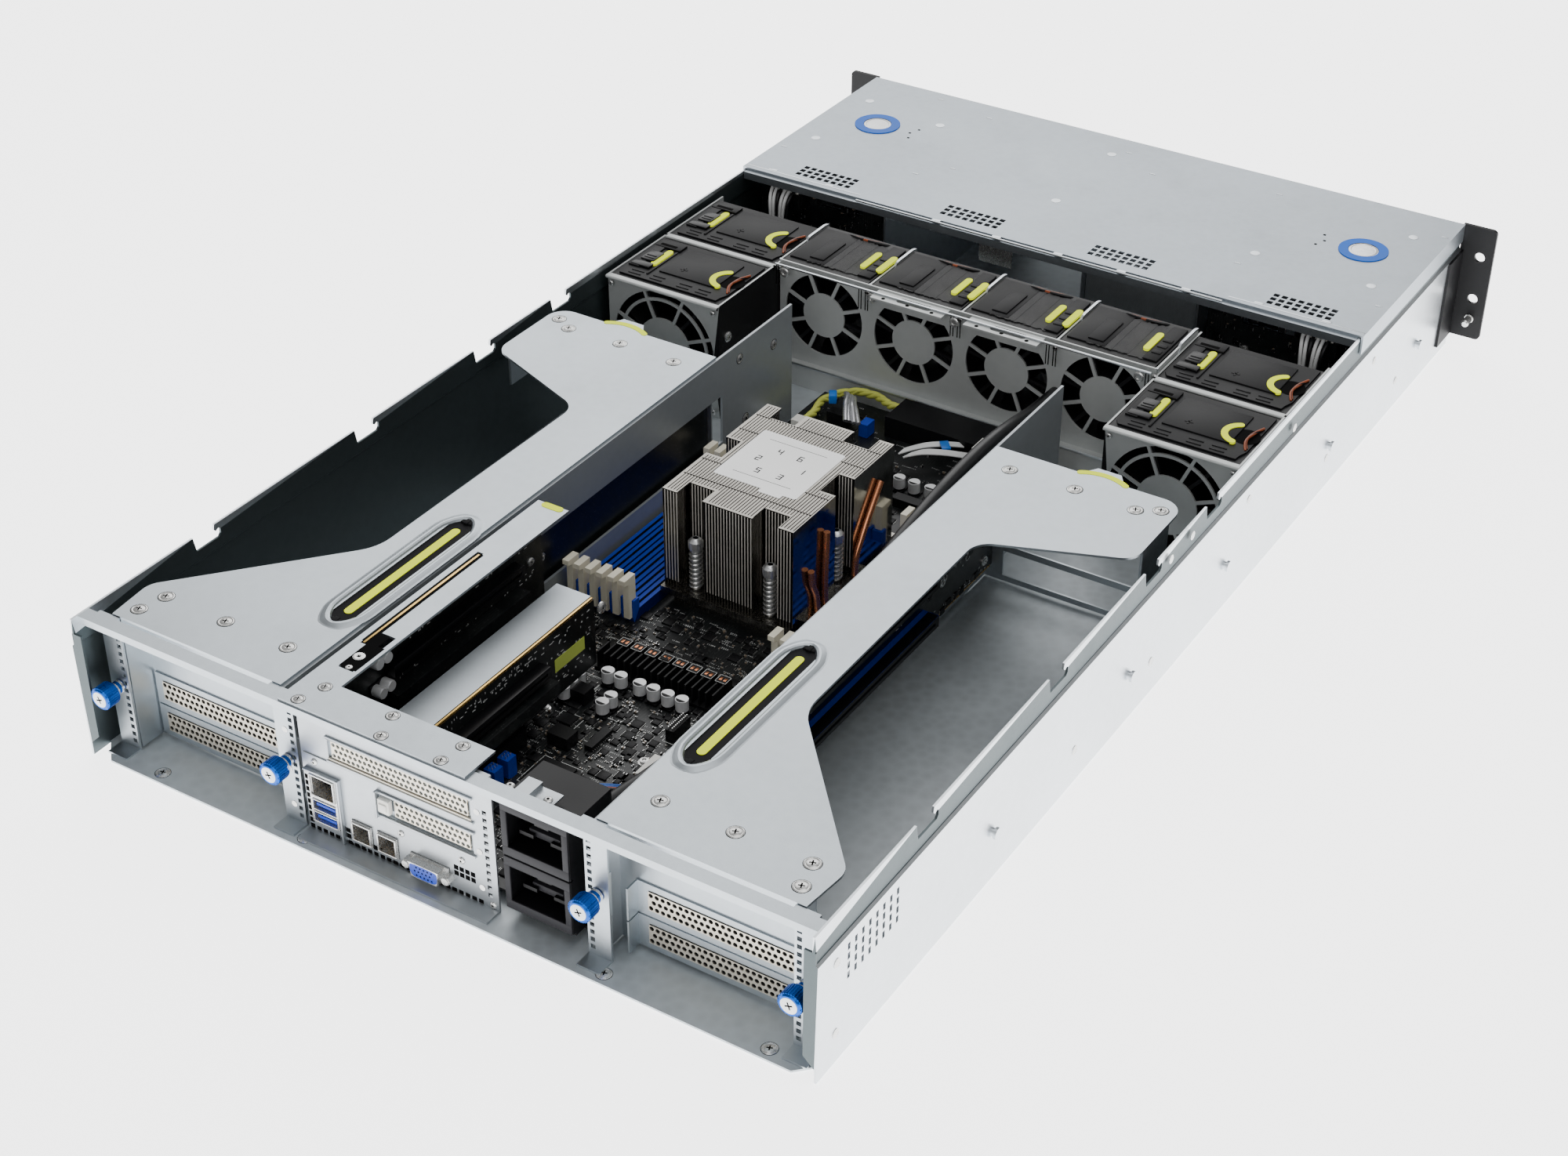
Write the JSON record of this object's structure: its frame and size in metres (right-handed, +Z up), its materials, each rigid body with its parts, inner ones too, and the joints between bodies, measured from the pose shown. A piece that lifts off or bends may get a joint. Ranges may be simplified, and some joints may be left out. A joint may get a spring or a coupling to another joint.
{
  "type": "2u rack server",
  "caption": "Low wide rack server with its rear cover off, showing lift-out card cages, fan wall, side fans, finned cooler, memory sockets and a front cover over drive bays.",
  "frame": {"origin": "middle of the underside, under the body's middle between front plate and rear wall ends", "axes": "+X towards the server's left side seen from the front, +Y from the front ears to the rear connectors, +Z up"},
  "size_m": [0.4826, 0.816, 0.0881],
  "materials": {
    "zinc_steel": "satin zinc-plated sheet",
    "bright_steel": "satin machined",
    "black_plastic": "matt",
    "grey_plastic": "matt",
    "black_paint": "satin powder coat",
    "blue_aluminium": "anodised",
    "board_black": "satin solder mask",
    "ivory_plastic": "matt",
    "blue_plastic": "matt",
    "fin_aluminium": "satin",
    "copper": "satin",
    "cable_jacket": "matt"
  },
  "bodies": {
    "chassis": {"chassis_pan": "zinc_steel", "side_walls": "zinc_steel", "rear_frame": "zinc_steel", "rear_io_panel": "zinc_steel", "io_ports": "bright_steel", "power_inlets": "black_plastic", "main_board": "board_black", "board_components": "black_plastic", "dimm_sockets": "blue_plastic", "cooler_base": "copper", "cooler_fins": "fin_aluminium", "cooler_screws": "bright_steel", "middle_fan_wall": "zinc_steel", "side_fan_cages": "zinc_steel", "riser_bracket": "zinc_steel", "riser_boards": "board_black", "front_frame": "zinc_steel", "backplanes": "board_black", "rack_ears": "black_paint", "internal_cables": "cable_jacket"},
    "front_lid": {"front_lid": "zinc_steel"},
    "lid_button_left": {"lid_button_left": "bright_steel"},
    "card_cage_left": {"card_cage_left": "zinc_steel", "riser_board_left": "board_black"},
    "thumbscrew_left_outer": {"thumbscrew_left_outer": "blue_aluminium"},
    "thumbscrew_left_inner": {"thumbscrew_left_inner": "blue_aluminium"},
    "lid_button_right": {"lid_button_right": "bright_steel"},
    "card_cage_right": {"card_cage_right": "zinc_steel", "riser_board_right": "board_black"},
    "thumbscrew_right_outer": {"thumbscrew_right_outer": "blue_aluminium"},
    "thumbscrew_right_inner": {"thumbscrew_right_inner": "blue_aluminium"},
    "middle_fan_1": {"middle_fan_1": "black_plastic"},
    "middle_rotor_1": {"middle_rotor_1": "black_plastic"},
    "side_fan_1": {"side_fan_1": "black_plastic"},
    "side_rotor_1": {"side_rotor_1": "black_plastic"},
    "drive_carrier_1": {"drive_carrier_1": "grey_plastic"},
    "drive_lever_1": {"drive_lever_1": "blue_aluminium"},
    "middle_fan_2": {"middle_fan_2": "black_plastic"},
    "middle_rotor_2": {"middle_rotor_2": "black_plastic"},
    "side_fan_2": {"side_fan_2": "black_plastic"},
    "side_rotor_2": {"side_rotor_2": "black_plastic"},
    "drive_carrier_2": {"drive_carrier_2": "grey_plastic"},
    "drive_lever_2": {"drive_lever_2": "blue_aluminium"},
    "middle_fan_3": {"middle_fan_3": "black_plastic"},
    "middle_rotor_3": {"middle_rotor_3": "black_plastic"},
    "side_fan_3": {"side_fan_3": "black_plastic"},
    "side_rotor_3": {"side_rotor_3": "black_plastic"},
    "drive_carrier_3": {"drive_carrier_3": "grey_plastic"},
    "drive_lever_3": {"drive_lever_3": "blue_aluminium"},
    "middle_fan_4": {"middle_fan_4": "black_plastic"},
    "middle_rotor_4": {"middle_rotor_4": "black_plastic"},
    "side_fan_4": {"side_fan_4": "black_plastic"},
    "side_rotor_4": {"side_rotor_4": "black_plastic"},
    "drive_carrier_4": {"drive_carrier_4": "grey_plastic"},
    "drive_lever_4": {"drive_lever_4": "blue_aluminium"},
    "dimm_latches_rear": {"dimm_latches_rear": "ivory_plastic"},
    "dimm_latches_front": {"dimm_latches_front": "ivory_plastic"},
    "power_supply_1": {"power_supply_1": "zinc_steel"},
    "power_supply_2": {"power_supply_2": "zinc_steel"},
    "power_button": {"power_button": "grey_plastic"}
  },
  "joints": [
    {"name": "front_lid_lift", "type": "slide", "parent": "chassis", "child": "front_lid", "axis": [0, 0, 1], "range_m": [0, 0.06]},
    {"name": "lid_button_left_press", "type": "slide", "parent": "front_lid", "child": "lid_button_left", "axis": [0, 0, -1], "range_m": [0, 0.003], "stiffness_N_per_m": 400, "springref_m": -0.002},
    {"name": "card_cage_left_lift", "type": "slide", "parent": "chassis", "child": "card_cage_left", "axis": [0, 0, 1], "range_m": [0, 0.09]},
    {"name": "thumbscrew_left_outer_turn", "type": "hinge", "parent": "chassis", "child": "thumbscrew_left_outer", "pos_m": [0.206, 0.386, 0.041], "axis": [0, 1, 0], "continuous": true},
    {"name": "thumbscrew_left_inner_turn", "type": "hinge", "parent": "chassis", "child": "thumbscrew_left_inner", "pos_m": [0.093, 0.386, 0.041], "axis": [0, 1, 0], "continuous": true},
    {"name": "lid_button_right_press", "type": "slide", "parent": "front_lid", "child": "lid_button_right", "axis": [0, 0, -1], "range_m": [0, 0.003], "stiffness_N_per_m": 400, "springref_m": -0.002},
    {"name": "card_cage_right_lift", "type": "slide", "parent": "chassis", "child": "card_cage_right", "axis": [0, 0, 1], "range_m": [0, 0.09]},
    {"name": "thumbscrew_right_outer_turn", "type": "hinge", "parent": "chassis", "child": "thumbscrew_right_outer", "pos_m": [-0.206, 0.386, 0.041], "axis": [0, 1, 0], "continuous": true},
    {"name": "thumbscrew_right_inner_turn", "type": "hinge", "parent": "chassis", "child": "thumbscrew_right_inner", "pos_m": [-0.093, 0.386, 0.041], "axis": [0, 1, 0], "continuous": true},
    {"name": "middle_fan_1_lift", "type": "slide", "parent": "chassis", "child": "middle_fan_1", "axis": [0, 0, 1], "range_m": [0, 0.08]},
    {"name": "middle_rotor_1_spin", "type": "hinge", "parent": "middle_fan_1", "child": "middle_rotor_1", "pos_m": [-0.0975, -0.15, 0.053], "axis": [0, 1, 0], "continuous": true},
    {"name": "side_fan_1_lift", "type": "slide", "parent": "chassis", "child": "side_fan_1", "axis": [0, 0, 1], "range_m": [0, 0.09]},
    {"name": "side_rotor_1_spin", "type": "hinge", "parent": "side_fan_1", "child": "side_rotor_1", "pos_m": [0.1725, -0.08, 0.0411], "axis": [0, 1, 0], "continuous": true},
    {"name": "drive_carrier_1_draw", "type": "slide", "parent": "chassis", "child": "drive_carrier_1", "axis": [0, -1, 0], "range_m": [0, 0.15]},
    {"name": "drive_lever_1_swing", "type": "hinge", "parent": "drive_carrier_1", "child": "drive_lever_1", "pos_m": [0.2146, -0.4028, 0.0154], "axis": [0, 0, 1], "range_deg": [0, 70]},
    {"name": "middle_fan_2_lift", "type": "slide", "parent": "chassis", "child": "middle_fan_2", "axis": [0, 0, 1], "range_m": [0, 0.08]},
    {"name": "middle_rotor_2_spin", "type": "hinge", "parent": "middle_fan_2", "child": "middle_rotor_2", "pos_m": [-0.0325, -0.15, 0.053], "axis": [0, 1, 0], "continuous": true},
    {"name": "side_fan_2_lift", "type": "slide", "parent": "chassis", "child": "side_fan_2", "axis": [0, 0, 1], "range_m": [0, 0.09]},
    {"name": "side_rotor_2_spin", "type": "hinge", "parent": "side_fan_2", "child": "side_rotor_2", "pos_m": [0.1725, -0.145, 0.0411], "axis": [0, 1, 0], "continuous": true},
    {"name": "drive_carrier_2_draw", "type": "slide", "parent": "chassis", "child": "drive_carrier_2", "axis": [0, -1, 0], "range_m": [0, 0.15]},
    {"name": "drive_lever_2_swing", "type": "hinge", "parent": "drive_carrier_2", "child": "drive_lever_2", "pos_m": [0.2146, -0.4028, 0.0436], "axis": [0, 0, 1], "range_deg": [0, 70]},
    {"name": "middle_fan_3_lift", "type": "slide", "parent": "chassis", "child": "middle_fan_3", "axis": [0, 0, 1], "range_m": [0, 0.08]},
    {"name": "middle_rotor_3_spin", "type": "hinge", "parent": "middle_fan_3", "child": "middle_rotor_3", "pos_m": [0.0325, -0.15, 0.053], "axis": [0, 1, 0], "continuous": true},
    {"name": "side_fan_3_lift", "type": "slide", "parent": "chassis", "child": "side_fan_3", "axis": [0, 0, 1], "range_m": [0, 0.09]},
    {"name": "side_rotor_3_spin", "type": "hinge", "parent": "side_fan_3", "child": "side_rotor_3", "pos_m": [-0.1725, -0.08, 0.0411], "axis": [0, 1, 0], "continuous": true},
    {"name": "drive_carrier_3_draw", "type": "slide", "parent": "chassis", "child": "drive_carrier_3", "axis": [0, -1, 0], "range_m": [0, 0.15]},
    {"name": "drive_lever_3_swing", "type": "hinge", "parent": "drive_carrier_3", "child": "drive_lever_3", "pos_m": [-0.2146, -0.4028, 0.0154], "axis": [0, 0, -1], "range_deg": [0, 70]},
    {"name": "middle_fan_4_lift", "type": "slide", "parent": "chassis", "child": "middle_fan_4", "axis": [0, 0, 1], "range_m": [0, 0.08]},
    {"name": "middle_rotor_4_spin", "type": "hinge", "parent": "middle_fan_4", "child": "middle_rotor_4", "pos_m": [0.0975, -0.15, 0.053], "axis": [0, 1, 0], "continuous": true},
    {"name": "side_fan_4_lift", "type": "slide", "parent": "chassis", "child": "side_fan_4", "axis": [0, 0, 1], "range_m": [0, 0.09]},
    {"name": "side_rotor_4_spin", "type": "hinge", "parent": "side_fan_4", "child": "side_rotor_4", "pos_m": [-0.1725, -0.145, 0.0411], "axis": [0, 1, 0], "continuous": true},
    {"name": "drive_carrier_4_draw", "type": "slide", "parent": "chassis", "child": "drive_carrier_4", "axis": [0, -1, 0], "range_m": [0, 0.15]},
    {"name": "drive_lever_4_swing", "type": "hinge", "parent": "drive_carrier_4", "child": "drive_lever_4", "pos_m": [-0.2146, -0.4028, 0.0436], "axis": [0, 0, -1], "range_deg": [0, 70]},
    {"name": "dimm_latches_rear_tilt", "type": "hinge", "parent": "chassis", "child": "dimm_latches_rear", "pos_m": [0, 0.1616, 0.0096], "axis": [-1, 0, 0], "range_deg": [0, 25]},
    {"name": "dimm_latches_front_tilt", "type": "hinge", "parent": "chassis", "child": "dimm_latches_front", "pos_m": [0, 0.0204, 0.0096], "axis": [1, 0, 0], "range_deg": [0, 25]},
    {"name": "power_supply_1_draw", "type": "slide", "parent": "chassis", "child": "power_supply_1", "axis": [0, -1, 0], "range_m": [0, 0.17]},
    {"name": "power_supply_2_draw", "type": "slide", "parent": "chassis", "child": "power_supply_2", "axis": [0, -1, 0], "range_m": [0, 0.17]},
    {"name": "power_button_press", "type": "slide", "parent": "chassis", "child": "power_button", "axis": [0, 1, 0], "range_m": [0, 0.0012], "stiffness_N_per_m": 400, "springref_m": -0.002}
  ]
}
